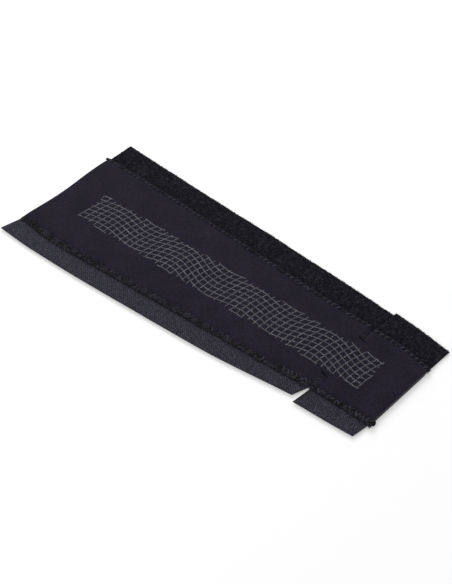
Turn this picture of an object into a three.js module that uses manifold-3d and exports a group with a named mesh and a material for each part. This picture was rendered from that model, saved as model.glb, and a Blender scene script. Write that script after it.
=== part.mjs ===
// Chainstay protector: a foam rubber wrap with hook and loop edges, laid out flat with its outer face up.
// Millimetres. X runs along the wrap from the wide end to the narrow end, +Y points to the loop edge,
// +Z points away from the frame tube. The origin is under the middle of the wrap, on what it lies on.

import * as THREE from "three";
import { ConvexGeometry } from "three/addons/geometries/ConvexGeometry.js";
import { mergeVertices } from "three/addons/utils/BufferGeometryUtils.js";
import Module from "manifold-3d";

const wasm = await Module();
wasm.setup();

// Panel: foam rubber laminated with a knitted facing
const LENGTH = 248.2;
const PANEL_THICKNESS = 3;
const MARGIN_HEIGHT = 2.7; // top of the margin, where the seam pulls the foam down
const HOOK_MARGIN = 4.8; // width of the sewn margin on the hook side
const LOOP_MARGIN = 4;
const MARGIN_SLOPE = 1.6; // from the margin up to the flat face
const EDGE_ROUND = 0.5;
const REBATE_SLOPE = 1.6; // the foam eases down beside the tape under it
const TAPE_CLEARANCE = 0.4;

// The cut ends aren't quite straight: the wide one waves, the narrow one is a little out of square
const WIDE_END_WAVE = 0.75;
const WIDE_END_WAVE_LENGTH = 72;
const WIDE_END_HOLLOW_Y = -9;
const NARROW_END_LEAN = 0.025;
const WAVE_STEP = 4;
const END_SPARE = 3; // the panel is made this much longer at both ends before they are cut

// Half widths of the panel at mid-length, and how far its cut edges lie outside them at stations
// along its length, from the wide end at 0 to the narrow end at 1
const HOOK_SIDE_WIDTH = 35.1;
const LOOP_SIDE_WIDTH = 30.2;
const HOOK_SIDE_TAPER = [[0, 4.3], [0.09, 6.3], [0.22, 4.7], [0.5, 0], [0.7, -3.1], [0.847, -6], [1, -6.5]];
const LOOP_SIDE_TAPER = [[0, 4.7], [0.2, 3.9], [0.5, 0], [0.7, -2.3], [0.847, -2.9], [0.93, -3.7], [1, -7]];

// Tapes: cut from one width of woven hook tape and one of woven loop tape
const HOOK_TAPE_WIDTH = 20;
const LOOP_TAPE_WIDTH = 21.5;
const TAPE_BACK = 0.5; // the woven ground of either tape
const SELVEDGE = 1.7; // bare woven edge beside the hooks or the pile
const HOOK_HEIGHT = 1.1;
const PILE_HEIGHT = 1.6;
const CRUSHED_PILE = 0.6; // the pile under the panel's margin, pressed flat by the seam
const PILE_SLOPE = 0.6;

// How much of each tape shows outside the panel at the same stations, as they were sewn on by eye
const HOOK_SHOWN_LONG = [
  [0, 13], [0.1, 11.4], [0.22, 12], [0.5, 12.2], [0.62, 11.7], [0.73, 10], [0.83, 8.6],
];
const HOOK_SHOWN_SHORT = [[0.84, 12.1], [0.92, 11.4], [1, 9.9]];
const LOOP_SHOWN_LONG = [
  [0, 18.8], [0.1, 17.7], [0.22, 17.1], [0.34, 17.5], [0.48, 18.5], [0.58, 18.3], [0.7, 18.4], [0.85, 16.6],
];
const LOOP_SHOWN_SHORT = [[0.855, 18.7], [0.94, 17.7], [1, 18.6]];

// Ends of the tapes, as how far each lies past the panel's end or the dart, and how far it leans out
// along the wrap for each millimetre outwards from the panel's edge
const HOOK_WIDE_END = { past: 0.6, lean: 0.28 };
const HOOK_NARROW_END = { past: -1.2, lean: -0.156 };
const HOOK_NOTCH_LONG = { past: -1.3, lean: -0.37 };
const HOOK_NOTCH_SHORT = { past: 0, lean: -0.105 };
const LOOP_WIDE_END = { past: 0.1, lean: 0 };
const LOOP_NARROW_END = { past: 0.2, lean: 0.04 };
const LOOP_JOIN_LONG = { past: -0.1, lean: 0.09 };
const LOOP_JOIN_SHORT = { past: 0.1, lean: 0.09 };

// Darts: two wedges cut out of the foam and sewn shut, which bend the wrap round the tube
const DART_STATION = 0.8454;
const HOOK_DART_LENGTH = 12.5;
const LOOP_DART_LENGTH = 12;
const DART_WIDTH = 2.6;
const DART_DEPTH = 0.9;

// Thread: zigzag seams through panel and tape
const THREAD_WIDTH = 0.8;
const THREAD_HEIGHT = 0.35;
const STITCH_PITCH = 3.4; // from one needle hole to the next on the same side
const HOOK_SEAM_SWING = 1.45; // from the middle of the zigzag to a needle hole
const LOOP_SEAM_SWING = 0.95;
const HOOK_SEAM_INSET = 2.5; // from the panel's cut edge to the middle of the zigzag
const LOOP_SEAM_INSET = 1.95;
const SEAM_START = 0.7; // from the panel's end or the dart to the first hole
const TACK_LENGTH = 20; // the back-tack at the wide end, sewn closer
const TACK_PITCH = 2.2;
const DART_PITCH = 2.2;
const DART_SWING = 1.2;
const POINT_TACK = 5; // the bar sewn across each dart's point
const HOOK_KNOT_RADIUS = 1.25;
const LOOP_KNOT_RADIUS = 0.4;
const KNOT_STRETCH = 2;
const KNOT_CLEARANCE = 0.2;

// Printed net: raised rubbery lines in a rectangle cropped from a rippled net
const NET_LENGTH = 206.6;
const NET_WIDTH = 25.6;
const NET_CELL_LENGTH = 4.02;
const NET_CELL_WIDTH = 3.75;
const NET_LINE = 0.8;
const NET_THICKNESS = 0.25;
const NET_CENTRE_X = 2.8;
const NET_CENTRE_Y = -2.8;
const NET_TURN = 0.7; // degrees
const NET_RIPPLE = 2.5; // how far the rows swing to either side of their middle
const NET_RIPPLE_LENGTH = 52;
const NET_CREST_X = 18.4;
const NET_SWELL = 2; // a slower swing, twice as long, that the ripple rides on
const NET_SWELL_CREST_X = -36;
const NET_ROW_SHIFT = -1.2; // from the net's middle to the middle row
const NET_COLUMN_SHIFT = 0.65;
const NET_LEAN = 0.18; // how far the columns lean for each millimetre of width
const NET_BEND = 0.0065; // how much the lean grows from one long edge to the other
const NET_SPREAD = 0.00023; // how much wider the cells are at the wide end than at the narrow one
const CROSSING_ROUNDS = 6;
const SHORTEST_LOOSE_END = 0.5;
const LONGEST_LOOSE_END = 0.8; // as a share of the way to the next crossing

// How closely curves are followed
const STEP = 5;
const TAPE_STEP = 8;
const KNOT_SIDES = 12;
const KNOT_RINGS = 8;
const WIDEST_MITRE = 1.25; // half of a strand's width at a sharp turn, for each millimetre of thread

const LEFT = -LENGTH / 2;
const RIGHT = LENGTH / 2;
const DART_X = LEFT + DART_STATION * LENGTH;
const HOOK_TAPE_TOP = HOOK_HEIGHT + TAPE_BACK;
const LOOP_TAPE_COVERED = TAPE_BACK + CRUSHED_PILE;
const LOOP_TAPE_TOP = TAPE_BACK + PILE_HEIGHT;
const HOOK = -1; // the hook side is towards -Y
const LOOP = 1;

// A smooth curve through stations: cubic pieces, with a slope at each station between its neighbours'.
function curveThrough(stations, base = 0) {
  const points = stations.map(([at, offset]) => [LEFT + at * LENGTH, base + offset]);
  const slope = (i) => {
    const before = points[Math.max(i - 1, 0)];
    const after = points[Math.min(i + 1, points.length - 1)];
    return (after[1] - before[1]) / (after[0] - before[0]);
  };
  return (x) => {
    let i = 0;
    while (i < points.length - 2 && x > points[i + 1][0]) i += 1;
    const span = points[i + 1][0] - points[i][0];
    const rise = points[i + 1][1] - points[i][1];
    const t = (x - points[i][0]) / span;
    if (t <= 0) return points[i][1] + slope(i) * t * span;
    if (t >= 1) return points[i + 1][1] + slope(i + 1) * (t - 1) * span;
    const a = slope(i) * span - rise;
    const b = rise - slope(i + 1) * span;
    return points[i][1] + rise * t + t * (1 - t) * (a * (1 - t) + b * t);
  };
}

// Distances from the long axis at x: of the panel's cut edges, then of the tapes' outer edges
const hookSide = curveThrough(HOOK_SIDE_TAPER, HOOK_SIDE_WIDTH);
const loopSide = curveThrough(LOOP_SIDE_TAPER, LOOP_SIDE_WIDTH);
const edgeBeyond = (side, shown) => (x) => side(x) + shown(x);
const hookEdgeLong = edgeBeyond(hookSide, curveThrough(HOOK_SHOWN_LONG));
const hookEdgeShort = edgeBeyond(hookSide, curveThrough(HOOK_SHOWN_SHORT));
const loopEdgeLong = edgeBeyond(loopSide, curveThrough(LOOP_SHOWN_LONG));
const loopEdgeShort = edgeBeyond(loopSide, curveThrough(LOOP_SHOWN_SHORT));

function evenly(from, to, step) {
  const count = Math.max(1, Math.round((to - from) / step));
  return Array.from({ length: count + 1 }, (_, i) => from + ((to - from) * i) / count);
}

function geometryOf(positions, index) {
  const geometry = new THREE.BufferGeometry();
  geometry.setAttribute("position", new THREE.Float32BufferAttribute(positions, 3));
  geometry.setIndex(index);
  return geometry;
}

// A closed body from rings of points along +X, each ring running anticlockwise as seen from +X.
// Both ends are filled; outline gives an end's shape as 2-D points.
function bodyFromRings(rings, outline) {
  const size = rings[0].length;
  const last = (rings.length - 1) * size;
  const index = [];
  for (let r = 0; r < last; r += size) {
    for (let k = 0; k < size; k += 1) {
      const a = r + k;
      const b = r + ((k + 1) % size);
      index.push(a, b, a + size, b, b + size, a + size);
    }
  }
  for (const [a, b, c] of THREE.ShapeUtils.triangulateShape(outline(rings[0]), [])) index.push(a, c, b);
  for (const [a, b, c] of THREE.ShapeUtils.triangulateShape(outline(rings.at(-1)), [])) {
    index.push(last + a, last + b, last + c);
  }
  return geometryOf(rings.flat(2), index);
}

const crossSection = (ring) => ring.map(([, y, z]) => new THREE.Vector2(y, z));

function solidOf(geometry) {
  const bare = geometry.clone();
  bare.deleteAttribute("normal");
  bare.deleteAttribute("uv");
  const merged = mergeVertices(bare);
  const vertProperties = new Float32Array(merged.attributes.position.array);
  const triVerts = new Uint32Array(merged.index.array);
  return new wasm.Manifold(new wasm.Mesh({ numProp: 3, vertProperties, triVerts }));
}

function geometryOfSolid(solid) {
  const mesh = solid.getMesh();
  return geometryOf(Array.from(mesh.vertProperties), Array.from(mesh.triVerts));
}

// Where the panel's two cut ends lie along the wrap, by the distance across it
function wideEnd(y) {
  return LEFT + WIDE_END_WAVE * Math.cos((2 * Math.PI * (y - WIDE_END_HOLLOW_Y)) / WIDE_END_WAVE_LENGTH);
}

function narrowEnd(y) {
  return RIGHT + NARROW_END_LEAN * y;
}

// All that lies between the two cut ends, from below the panel to above it
function betweenCutEnds() {
  const reach = 1.5 * HOOK_SIDE_WIDTH;
  const narrow = [-reach, reach].map((y) => [narrowEnd(y), y]);
  const wide = evenly(reach, -reach, -WAVE_STEP).map((y) => [wideEnd(y), y]);
  const plan = new wasm.CrossSection([[...narrow, ...wide]]);
  return plan.extrude(3 * PANEL_THICKNESS).translate([0, 0, -PANEL_THICKNESS]);
}

// Foam panel: one section carried along the length, with a rebate under each margin for the tape
function panelSection(x) {
  const near = -hookSide(x);
  const far = loopSide(x);
  const beforeDart = x <= DART_X;
  const hookEdge = beforeDart ? hookEdgeLong(x) : hookEdgeShort(x);
  const loopEdge = beforeDart ? loopEdgeLong(x) : loopEdgeShort(x);
  const hookRebate = -hookEdge + HOOK_TAPE_WIDTH + TAPE_CLEARANCE;
  const loopRebate = loopEdge - LOOP_TAPE_WIDTH - TAPE_CLEARANCE;
  const outline = [
    [near, HOOK_TAPE_TOP],
    [hookRebate, HOOK_TAPE_TOP],
    [hookRebate + REBATE_SLOPE, 0],
    [loopRebate - REBATE_SLOPE, 0],
    [loopRebate, LOOP_TAPE_COVERED],
    [far, LOOP_TAPE_COVERED],
    [far, MARGIN_HEIGHT - EDGE_ROUND],
    [far - EDGE_ROUND, MARGIN_HEIGHT],
    [far - LOOP_MARGIN, MARGIN_HEIGHT],
    [far - LOOP_MARGIN - MARGIN_SLOPE, PANEL_THICKNESS],
    [near + HOOK_MARGIN + MARGIN_SLOPE, PANEL_THICKNESS],
    [near + HOOK_MARGIN, MARGIN_HEIGHT],
    [near + EDGE_ROUND, MARGIN_HEIGHT],
    [near, MARGIN_HEIGHT - EDGE_ROUND],
  ];
  return outline.map(([y, z]) => [x, y, z]);
}

// A dart's valley: a V-shaped wedge, deepest at the panel's edge, that runs out to nothing at its point.
// The cutter stands a little above the panel and past its edge.
function dartValley(edgeWidth, length, side) {
  const above = 1.2;
  const pastEdge = 1.1;
  const top = above * PANEL_THICKNESS;
  const spread = DART_WIDTH / 2 / DART_DEPTH;
  const corners = (share) => {
    const bottom = PANEL_THICKNESS - share * DART_DEPTH;
    const half = spread * (top - bottom);
    const y = side * (edgeWidth - (1 - share) * length);
    return [[-half, top], [half, top], [0, bottom]].map(([x, z]) => new THREE.Vector3(DART_X + x, y, z));
  };
  return new ConvexGeometry([...corners(pastEdge), ...corners(0)]);
}

function foamPanel() {
  const beforeDart = evenly(LEFT - END_SPARE, DART_X, STEP);
  const pastDart = evenly(DART_X + STEP, RIGHT + END_SPARE, STEP);
  const rings = [...beforeDart, ...pastDart].map(panelSection);
  const hookDart = solidOf(dartValley(hookSide(DART_X), HOOK_DART_LENGTH, HOOK));
  const loopDart = solidOf(dartValley(loopSide(DART_X), LOOP_DART_LENGTH, LOOP));
  const body = solidOf(bodyFromRings(rings, crossSection));
  return geometryOfSolid(body.intersect(betweenCutEnds()).subtract(hookDart).subtract(loopDart));
}

// The end of a tape as x for a distance from the long axis: square under the panel, leaning outside it
function tapeEnd({ past, lean }, fromX, panelWidth, outwards) {
  return (width) => fromX + outwards * past + outwards * lean * Math.max(0, width - panelWidth);
}

// A tape between two ends. Its section is a list of [distance in from the outer edge, height].
function tape({ side, edge, start, end, section }) {
  const startX = start(edge(start(0)));
  const endX = end(edge(end(0)));
  const rings = evenly(0, 1, TAPE_STEP / (endX - startX)).map((share) => {
    const nominal = startX + share * (endX - startX);
    const ring = section(nominal).map(([inwards, z], k) => {
      const width = edge(nominal) - inwards;
      const x = start(width) + share * (end(width) - start(width));
      return [x, side * (edge(x) - section(x)[k][0]), z];
    });
    return side === LOOP ? ring.reverse() : ring;
  });
  return bodyFromRings(rings, crossSection);
}

// Hook tape, hooks down: the woven back on top, and under it the field of hooks between bare selvedges
const hookTapeSection = (edge) => (x) => {
  const shown = edge(x) - hookSide(x);
  return [
    [0, HOOK_HEIGHT],
    [SELVEDGE, HOOK_HEIGHT],
    [SELVEDGE, 0],
    [shown, 0],
    [HOOK_TAPE_WIDTH - SELVEDGE, 0],
    [HOOK_TAPE_WIDTH - SELVEDGE, HOOK_HEIGHT],
    [HOOK_TAPE_WIDTH, HOOK_HEIGHT],
    [HOOK_TAPE_WIDTH, HOOK_TAPE_TOP],
    [shown, HOOK_TAPE_TOP],
    [0, HOOK_TAPE_TOP],
  ];
};

// Loop tape, pile up: a low selvedge, then the pile, which is crushed where the panel covers it
const loopTapeSection = (edge) => (x) => {
  const covered = edge(x) - loopSide(x) - TAPE_CLEARANCE;
  return [
    [0, 0],
    [covered, 0],
    [LOOP_TAPE_WIDTH, 0],
    [LOOP_TAPE_WIDTH, LOOP_TAPE_COVERED],
    [covered, LOOP_TAPE_COVERED],
    [covered - PILE_SLOPE, LOOP_TAPE_TOP],
    [SELVEDGE + PILE_SLOPE, LOOP_TAPE_TOP],
    [SELVEDGE, TAPE_BACK],
    [0, TAPE_BACK],
  ];
};

const hookPanelWide = hookSide(LEFT);
const hookPanelDart = hookSide(DART_X);
const hookPanelNarrow = hookSide(RIGHT);
const loopPanelWide = loopSide(LEFT);
const loopPanelDart = loopSide(DART_X);
const loopPanelNarrow = loopSide(RIGHT);

const hookTapeLong = () => tape({
  side: HOOK,
  edge: hookEdgeLong,
  start: tapeEnd(HOOK_WIDE_END, LEFT, hookPanelWide, -1),
  end: tapeEnd(HOOK_NOTCH_LONG, DART_X, hookPanelDart, 1),
  section: hookTapeSection(hookEdgeLong),
});
const hookTapeShort = () => tape({
  side: HOOK,
  edge: hookEdgeShort,
  start: tapeEnd(HOOK_NOTCH_SHORT, DART_X, hookPanelDart, 1),
  end: tapeEnd(HOOK_NARROW_END, RIGHT, hookPanelNarrow, 1),
  section: hookTapeSection(hookEdgeShort),
});
const loopTapeLong = () => tape({
  side: LOOP,
  edge: loopEdgeLong,
  start: tapeEnd(LOOP_WIDE_END, LEFT, loopPanelWide, -1),
  end: tapeEnd(LOOP_JOIN_LONG, DART_X, loopPanelDart, 1),
  section: loopTapeSection(loopEdgeLong),
});
const loopTapeShort = () => tape({
  side: LOOP,
  edge: loopEdgeShort,
  start: tapeEnd(LOOP_JOIN_SHORT, DART_X, loopPanelDart, 1),
  end: tapeEnd(LOOP_NARROW_END, RIGHT, loopPanelNarrow, 1),
  section: loopTapeSection(loopEdgeShort),
});

// Thread laid along a line of [x, y] points at one height: a low strand with slanting sides,
// mitred where it turns, and widened only so far at a sharp turn
const THREAD_SECTION = [[-1, 0], [1, 0], [0.5, 1], [-0.5, 1]];
function strand(points, z) {
  const places = points.map(([x, y]) => new THREE.Vector2(x, y));
  const rings = places.map((place, i) => {
    const back = place.clone().sub(places[Math.max(i - 1, 0)]).normalize();
    const ahead = places[Math.min(i + 1, places.length - 1)].clone().sub(place).normalize();
    const along = back.clone().add(ahead).normalize();
    const mitred = THREAD_WIDTH / 2 / along.dot(i ? back : ahead);
    const half = Math.min(mitred, WIDEST_MITRE * THREAD_WIDTH);
    return THREAD_SECTION.map(([across, up]) => [
      place.x - along.y * half * across,
      place.y + along.x * half * across,
      z + up * THREAD_HEIGHT,
    ]);
  });
  return bodyFromRings(rings, () => THREAD_SECTION.map(([across, up]) => new THREE.Vector2(across, up)));
}

// The needle holes of a zigzag from one place to another along a line, by distance travelled
function zigzag(from, to, pitch, swing, place) {
  return evenly(from, to, pitch / 2).map((at, i) => place(at, i % 2 ? swing : -swing));
}

function seamLine(side, width, inset) {
  return (x, swing) => [x, side * (width(x) - inset) + swing];
}

// A tied tail that hangs over the panel's cut end, flattened against it
function knot(radius, x, y) {
  const ball = new THREE.SphereGeometry(radius, KNOT_SIDES, KNOT_RINGS);
  ball.scale(1, KNOT_STRETCH, 1);
  ball.translate(x, y, MARGIN_HEIGHT + THREAD_HEIGHT - radius);
  return solidOf(ball);
}

function knotPlace(side, end, inset, radius) {
  const width = side === HOOK ? hookSide(end) : loopSide(end);
  const y = side * (width - inset);
  const cutEnd = end === RIGHT ? narrowEnd(y) : wideEnd(y);
  return [cutEnd + Math.sign(end) * (KNOT_CLEARANCE + radius), y];
}

function hookSeamLong() {
  const line = seamLine(HOOK, hookSide, HOOK_SEAM_INSET);
  const start = LEFT + 2 * SEAM_START;
  const tackEnd = start + TACK_LENGTH;
  const last = DART_X - 2 * SEAM_START;
  const tack = zigzag(start, tackEnd, TACK_PITCH, HOOK_SEAM_SWING, line);
  const run = zigzag(tackEnd + STITCH_PITCH / 2, last, STITCH_PITCH, HOOK_SEAM_SWING, line);
  return strand([...tack, ...run], MARGIN_HEIGHT);
}

function hookSeamShort() {
  const line = seamLine(HOOK, hookSide, HOOK_SEAM_INSET);
  const tail = knotPlace(HOOK, RIGHT, HOOK_SEAM_INSET, HOOK_KNOT_RADIUS);
  const last = RIGHT - 2 * SEAM_START - THREAD_WIDTH;
  const run = zigzag(DART_X + 2 * SEAM_START, last, STITCH_PITCH, HOOK_SEAM_SWING, line);
  const thread = solidOf(strand([...run, tail], MARGIN_HEIGHT));
  return geometryOfSolid(thread.add(knot(HOOK_KNOT_RADIUS, ...tail)));
}

function loopSeamLong() {
  const line = seamLine(LOOP, loopSide, LOOP_SEAM_INSET);
  const tail = knotPlace(LOOP, LEFT, LOOP_SEAM_INSET, LOOP_KNOT_RADIUS);
  const run = zigzag(LEFT + SEAM_START, DART_X - 2 * SEAM_START, STITCH_PITCH, LOOP_SEAM_SWING, line);
  const thread = solidOf(strand([tail, ...run], MARGIN_HEIGHT));
  return geometryOfSolid(thread.add(knot(LOOP_KNOT_RADIUS, ...tail)));
}

function loopSeamShort() {
  const line = seamLine(LOOP, loopSide, LOOP_SEAM_INSET);
  const run = zigzag(DART_X + 2 * SEAM_START, RIGHT - 2 * SEAM_START, STITCH_PITCH, LOOP_SEAM_SWING, line);
  return strand(run, MARGIN_HEIGHT);
}

// Dart stitching: a zigzag across the valley from the sewn margin to the dart's point, then a bar across it
function dartStitching(side, edgeWidth, margin, length) {
  const from = edgeWidth - margin - MARGIN_SLOPE - THREAD_WIDTH;
  const to = edgeWidth - length;
  const along = evenly(from, to, -DART_PITCH / 2);
  const holes = along.map((width, i) => [DART_X + (i % 2 ? DART_SWING : -DART_SWING), side * width]);
  const bar = [-1, 1].map((end) => [DART_X + (end * POINT_TACK) / 2, side * to - end * THREAD_WIDTH]);
  const joined = solidOf(strand(holes, PANEL_THICKNESS)).add(solidOf(strand(bar, PANEL_THICKNESS)));
  return geometryOfSolid(joined);
}

// Printed net. Each column is a leaning curve and each row a wave, a ripple on a swell. They cross where
// the wave at the crossing's x gives its y and the lean at its y gives its x, so the two are worked out in
// turn until both hold. The whole is cropped to a rectangle: crossings outside are left out, and the
// lines towards them end at the border.
function netWave(x) {
  const ripple = NET_RIPPLE * Math.cos((2 * Math.PI * (x - NET_CREST_X)) / NET_RIPPLE_LENGTH);
  const swell = NET_SWELL * Math.cos((Math.PI * (x - NET_SWELL_CREST_X)) / NET_RIPPLE_LENGTH);
  return ripple + swell;
}

function netCrossing(column, row) {
  const along = NET_COLUMN_SHIFT + column * NET_CELL_LENGTH;
  const foot = along - NET_SPREAD * along * along;
  let [x, y] = [foot, 0];
  for (let round = 0; round < CROSSING_ROUNDS; round += 1) {
    y = NET_ROW_SHIFT + row * NET_CELL_WIDTH + netWave(x);
    x = foot + NET_LEAN * y + NET_BEND * y * y;
  }
  return new THREE.Vector2(x, y);
}

// The four sides of a crossing: the step to the neighbour there, and the side's two corners.
// Corners 0 to 3 run anticlockwise from the one towards -X and -Y.
const CROSSING_SIDES = [
  { step: [1, 0], from: 1, to: 2 },
  { step: [0, 1], from: 2, to: 3 },
  { step: [-1, 0], from: 3, to: 0 },
  { step: [0, -1], from: 0, to: 1 },
];
const CROSSING_CORNERS = [[-1, -1], [1, -1], [1, 1], [-1, 1]];

function printedNet() {
  const halfLength = NET_LENGTH / 2;
  const halfWidth = NET_WIDTH / 2;
  const half = NET_LINE / 2;
  const positions = [];
  const index = [];
  const addPoint = (place) => {
    positions.push(place.x, place.y, NET_THICKNESS, place.x, place.y, 0);
    return positions.length / 6 - 1;
  };
  const addFace = (a, b, c, d) => {
    const [ta, tb, tc, td] = [2 * a, 2 * b, 2 * c, 2 * d];
    index.push(ta, tb, tc, ta, tc, td, ta + 1, tc + 1, tb + 1, ta + 1, td + 1, tc + 1);
  };
  const addWall = (a, b) => index.push(2 * a, 2 * a + 1, 2 * b + 1, 2 * a, 2 * b + 1, 2 * b);

  const columns = Math.ceil(halfLength / NET_CELL_LENGTH) + 2;
  const rows = Math.ceil((halfWidth + NET_RIPPLE + NET_SWELL) / NET_CELL_WIDTH) + 1;
  const crossings = new Map();
  const key = (column, row) => column + "," + row;
  for (let column = -columns; column <= columns; column += 1) {
    for (let row = -rows; row <= rows; row += 1) {
      const place = netCrossing(column, row);
      if (Math.abs(place.x) > halfLength - half || Math.abs(place.y) > halfWidth - half) continue;
      const along = netCrossing(column + 1, row).sub(netCrossing(column - 1, row)).setLength(half);
      const across = netCrossing(column, row + 1).sub(netCrossing(column, row - 1)).setLength(half);
      const corners = CROSSING_CORNERS.map(([a, b]) =>
        addPoint(place.clone().addScaledVector(along, a).addScaledVector(across, b)),
      );
      crossings.set(key(column, row), { column, row, place, along, across, corners });
    }
  }
  for (const { column, row, place, along, across, corners } of crossings.values()) {
    addFace(...corners);
    CROSSING_SIDES.forEach(({ step, from, to }, side) => {
      const [a, b] = [corners[from], corners[to]];
      const neighbour = crossings.get(key(column + step[0], row + step[1]));
      if (neighbour) {
        if (side > 1) return; // the neighbour makes this line from its own side
        const opposite = CROSSING_SIDES[side + 2];
        const [c, d] = [neighbour.corners[opposite.to], neighbour.corners[opposite.from]];
        addFace(a, c, d, b);
        addWall(a, c);
        addWall(d, b);
        return;
      }
      const way = netCrossing(column + step[0], row + step[1]).sub(place);
      const reachX = (halfLength - Math.abs(place.x)) / Math.max(Math.abs(way.x), 1e-6);
      const reachY = (halfWidth - Math.abs(place.y)) / Math.max(Math.abs(way.y), 1e-6);
      const looseEnd = way.clone().multiplyScalar(Math.min(reachX, reachY, LONGEST_LOOSE_END));
      if (looseEnd.length() < half + SHORTEST_LOOSE_END) {
        addWall(a, b);
        return;
      }
      const aside = step[0] ? across.clone() : along.clone().negate();
      if (side > 1) aside.negate();
      const c = addPoint(place.clone().add(looseEnd).sub(aside));
      const d = addPoint(place.clone().add(looseEnd).add(aside));
      addFace(a, c, d, b);
      addWall(a, c);
      addWall(c, d);
      addWall(d, b);
    });
  }
  return geometryOf(positions, index);
}

// Finishes, in the colours of the real materials
const finish = (color, roughness) => new THREE.MeshStandardMaterial({ color, roughness, metalness: 0 });
const knittedFacing = () => finish("#25242d", 0.9);
const hookTapeBack = () => finish("#34343c", 0.85);
const loopPile = () => finish("#1c1b1f", 1);
const thread = () => finish("#1f1e23", 0.7);
const rubberyPrint = () => finish("#4b4c54", 0.6);

function piece(name, geometry, material) {
  const mesh = new THREE.Mesh(geometry, material);
  mesh.name = name;
  return mesh;
}

const net = piece("printed_net", printedNet(), rubberyPrint());
net.position.set(NET_CENTRE_X, NET_CENTRE_Y, PANEL_THICKNESS);
net.rotation.z = THREE.MathUtils.degToRad(NET_TURN);

const hookDartStitches = dartStitching(HOOK, hookPanelDart, HOOK_MARGIN, HOOK_DART_LENGTH);
const loopDartStitches = dartStitching(LOOP, loopPanelDart, LOOP_MARGIN, LOOP_DART_LENGTH);

const panel = new THREE.Group();
panel.add(piece("foam_panel", foamPanel(), knittedFacing()), net);

const tapes = new THREE.Group();
tapes.add(
  piece("hook_tape_long", hookTapeLong(), hookTapeBack()),
  piece("hook_tape_short", hookTapeShort(), hookTapeBack()),
  piece("loop_tape_long", loopTapeLong(), loopPile()),
  piece("loop_tape_short", loopTapeShort(), loopPile()),
);

const sewing = new THREE.Group();
sewing.add(
  piece("hook_seam_long", hookSeamLong(), thread()),
  piece("hook_seam_short", hookSeamShort(), thread()),
  piece("loop_seam_long", loopSeamLong(), thread()),
  piece("loop_seam_short", loopSeamShort(), thread()),
  piece("hook_dart_stitching", hookDartStitches, thread()),
  piece("loop_dart_stitching", loopDartStitches, thread()),
);

const protector = new THREE.Group();
protector.add(panel, tapes, sewing);
export default protector;
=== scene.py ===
# %% [markdown]
# # Dressing a chainstay protector
# The object is a wrap that goes round the lower rear tube of a bicycle, so that the chain can't chip it.
# It is sewn from a foam rubber panel with a knitted facing, woven tape with hooks and woven tape with a
# pile, and it carries a rippled net printed in rubbery ink.
# It lies open and flat, printed side up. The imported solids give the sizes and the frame, and everything
# that shows is modelled again as cloth, because each of them is a plain block in the right place.
# Lengths are in millimetres while shapes are worked out, and metres once they are a mesh.

import bpy
import numpy as np
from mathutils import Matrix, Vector


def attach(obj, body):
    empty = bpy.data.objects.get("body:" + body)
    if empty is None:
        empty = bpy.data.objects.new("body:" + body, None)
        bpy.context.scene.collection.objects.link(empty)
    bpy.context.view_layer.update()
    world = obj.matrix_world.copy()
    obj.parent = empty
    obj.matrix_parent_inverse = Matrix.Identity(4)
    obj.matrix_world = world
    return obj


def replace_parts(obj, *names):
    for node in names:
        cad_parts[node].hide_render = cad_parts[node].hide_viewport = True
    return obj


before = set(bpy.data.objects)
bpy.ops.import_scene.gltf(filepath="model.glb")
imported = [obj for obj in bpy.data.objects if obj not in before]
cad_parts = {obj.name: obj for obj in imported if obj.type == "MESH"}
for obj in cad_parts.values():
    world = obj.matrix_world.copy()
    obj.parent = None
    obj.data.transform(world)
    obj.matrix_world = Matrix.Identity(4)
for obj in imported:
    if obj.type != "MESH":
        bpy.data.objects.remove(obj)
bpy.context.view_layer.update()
scene = bpy.context.scene
MM = 0.001

# %% [markdown]
# ## Camera
# A long lens looks down at 45 degrees from beyond the near edge's narrow end. Its place was worked out
# from the straight edges of the wrap. The picture is upright, so the sensor's 36 mm go along its height.

# %% Camera
CAMERA_PLACE = Vector((335.286, -376.322, 501.482)) * MM
CAMERA_TARGET = Vector((5.28, -3.37, 0)) * MM
camera_data = bpy.data.cameras.new("studio_camera")
camera_data.sensor_fit = "VERTICAL"
camera_data.sensor_height = 36
camera_data.lens = 77.79
camera = bpy.data.objects.new("studio_camera", camera_data)
camera.location = CAMERA_PLACE
camera.rotation_euler = (CAMERA_TARGET - CAMERA_PLACE).to_track_quat("-Z", "Y").to_euler()
scene.collection.objects.link(camera)
scene.camera = camera
print("camera", round((CAMERA_TARGET - CAMERA_PLACE).length, 3), "m from the wrap")

# %% [markdown]
# ## Shader nodes in one line each
# One function adds a node, sets its properties, and fills its inputs with values or with what comes out
# of other nodes. In a Mix node of colours input 0 is the share, and 6 and 7 are the two colours. Colours
# are written as they would be picked on a screen, and turned into the linear light that shaders add up.

# %% Helpers for materials
def linear(colour):
    """Linear RGBA of an sRGB hex colour: ((c + 0.055) / 1.055) ^ 2.4 of a channel c, or c / 12.92 if dark."""
    channels = np.array([int(colour[i:i + 2], 16) for i in (1, 3, 5)]) / 255
    light = np.where(channels > 0.04045, ((channels + 0.055) / 1.055) ** 2.4, channels / 12.92)
    return (*light.tolist(), 1.0)


def fill(made, inputs):
    """Fills a node's inputs: with a value, with a socket, or with the first live output of another node."""
    for name, value in inputs.items():
        if isinstance(value, bpy.types.Node):
            value = next(output for output in value.outputs if output.enabled)
        if isinstance(value, bpy.types.NodeSocket):
            made.id_data.links.new(value, made.inputs[name])
        else:
            made.inputs[name].default_value = value


def node(tree, kind, inputs=None, **settings):
    """A new shader node of that kind, with those properties and inputs."""
    made = tree.nodes.new("ShaderNode" + kind)
    for name, value in settings.items():
        setattr(made, name, value)
    fill(made, inputs or {})
    return made


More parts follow.
